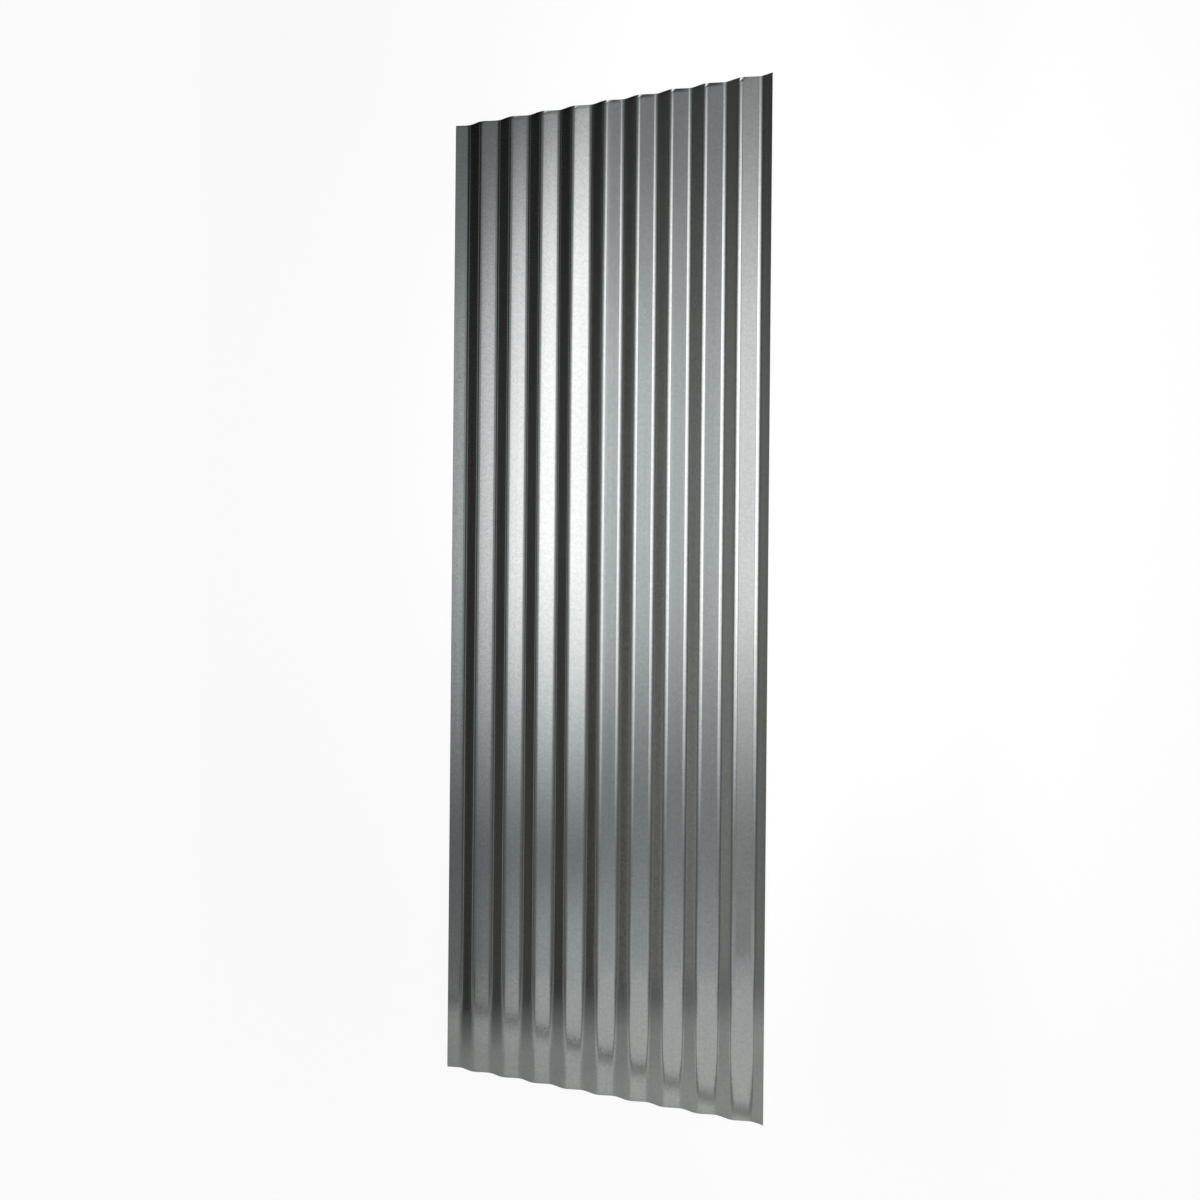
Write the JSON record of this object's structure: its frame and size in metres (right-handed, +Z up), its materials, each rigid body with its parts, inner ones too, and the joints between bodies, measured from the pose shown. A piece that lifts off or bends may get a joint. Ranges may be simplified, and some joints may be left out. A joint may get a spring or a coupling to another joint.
{
  "type": "corrugated metal sheet",
  "caption": "Thin galvanized steel sheet rolled into even rounded waves along its length, with straight slit sides and square-cut ends, for covering roofs and walls.",
  "frame": {"origin": "middle of the sheet's outline, on the level that its valleys rest on", "axes": "+Y along the waves, +X across them, +Z up out of the upper face"},
  "size_m": [0.6604, 1.8288, 0.0111],
  "materials": {
    "galvanized_steel": "hot-dip zinc with a fine spangle, new and clean"
  },
  "bodies": {
    "root": {"corrugated_sheet": "galvanized_steel"}
  },
  "joints": []
}
